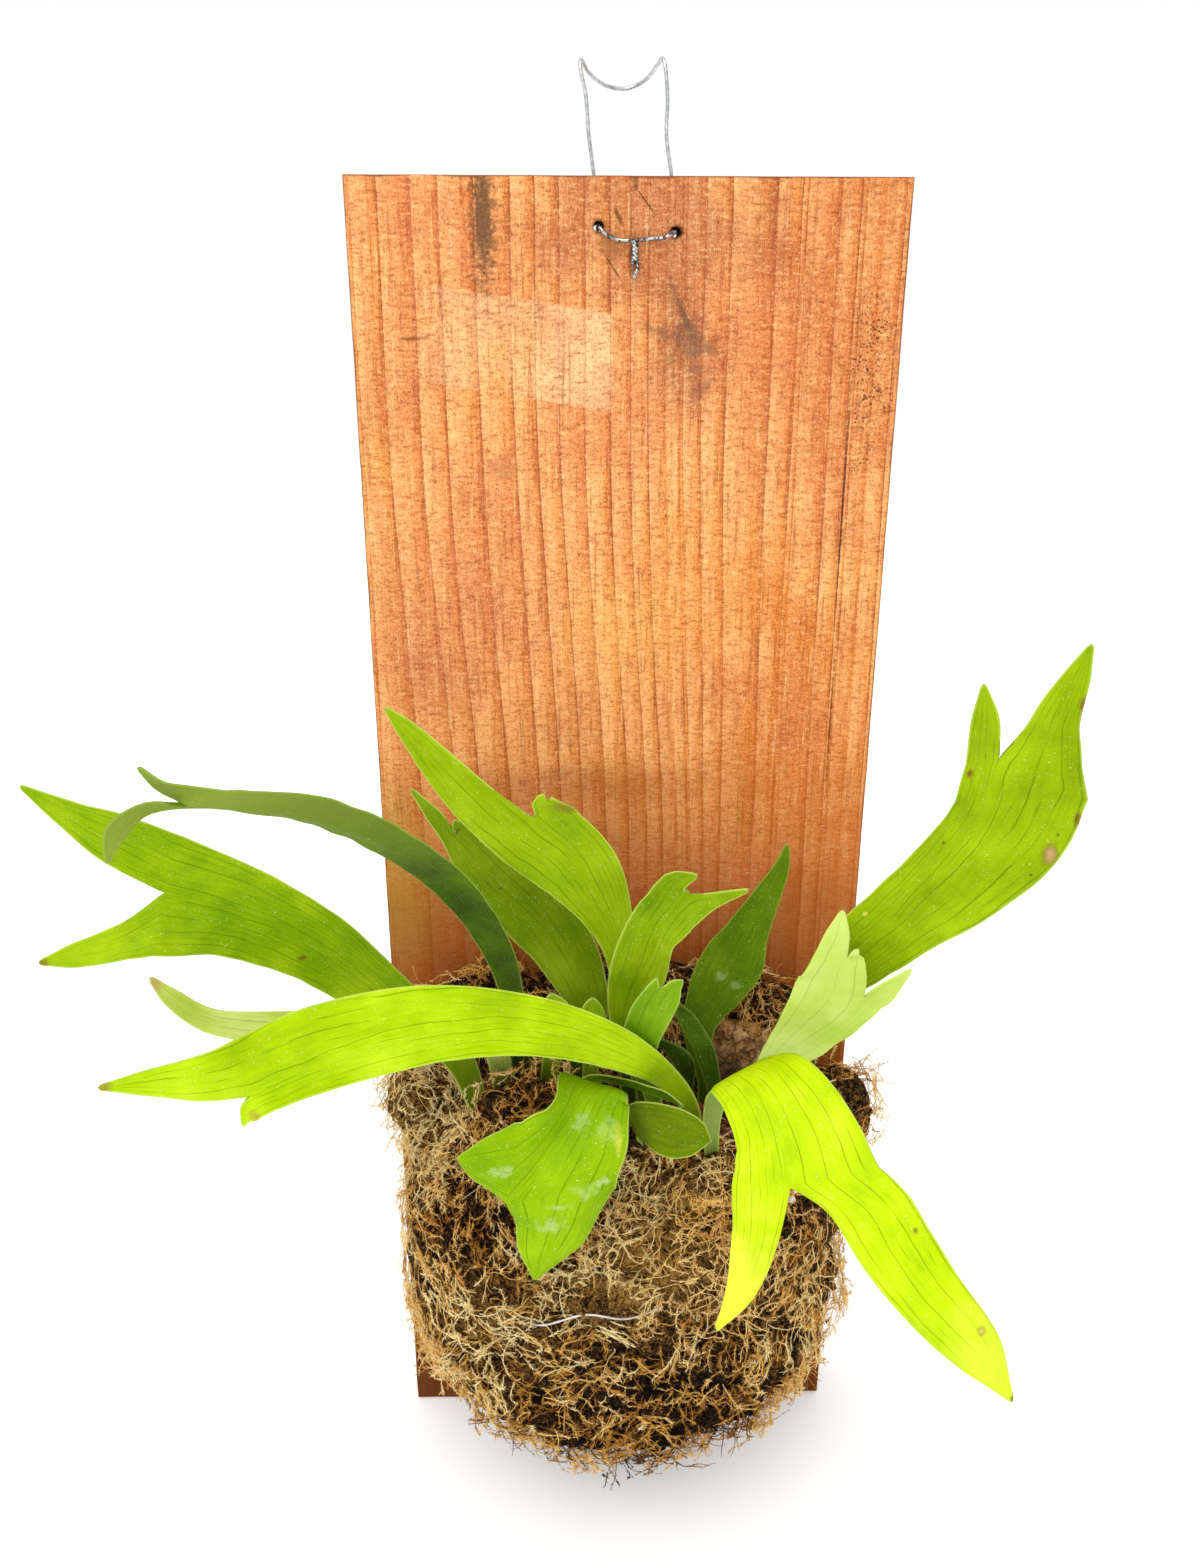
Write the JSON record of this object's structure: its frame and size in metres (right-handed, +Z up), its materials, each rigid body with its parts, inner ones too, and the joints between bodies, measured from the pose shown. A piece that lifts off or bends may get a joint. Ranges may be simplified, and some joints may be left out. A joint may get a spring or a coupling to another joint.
{
  "type": "mounted staghorn fern",
  "caption": "Staghorn fern with forked antler fronds growing on a mound of moss tied to an upright softwood board that hangs by a twisted wire loop.",
  "frame": {"origin": "middle of the board's back face, which lies against the wall", "axes": "+Z up along the board, +Y from the plant into the wall, +X to the right for someone who looks at the plant"},
  "size_m": [0.3277, 0.1991, 0.5452],
  "materials": {
    "softwood": "rough sawn",
    "galvanised_wire": "dull",
    "tack_steel": "blued",
    "nylon": "clear gloss",
    "rhizome": "scaly matt",
    "dry_frond": "papery matt",
    "green_frond": "satin",
    "pale_frond": "matt, felted",
    "dry_moss": "fibrous matt"
  },
  "bodies": {
    "root": {"binding_line": "nylon", "board": "softwood", "frond_centre_narrow_left": "green_frond", "frond_centre_narrow_right": "green_frond", "frond_centre_small": "green_frond", "frond_centre_upright": "green_frond", "frond_front_hanging": "green_frond", "frond_front_narrow": "green_frond", "frond_front_small_round": "green_frond", "frond_left_arching": "green_frond", "frond_left_front": "green_frond", "frond_left_hidden": "green_frond", "frond_left_wide": "green_frond", "frond_right_back": "green_frond", "frond_right_front": "green_frond", "frond_right_pale": "pale_frond", "frond_right_wide": "green_frond", "frond_up_left": "green_frond", "frond_up_left_back": "green_frond", "frond_young_left": "green_frond", "frond_young_right": "green_frond", "hanger_wire": "galvanised_wire", "moss_mound": "dry_moss", "rhizome": "rhizome", "shield_frond_left": "dry_frond", "shield_frond_right": "dry_frond", "tack_1": "tack_steel", "tack_2": "tack_steel", "tack_3": "tack_steel", "tack_4": "tack_steel", "tack_5": "tack_steel", "tack_6": "tack_steel"}
  },
  "joints": []
}
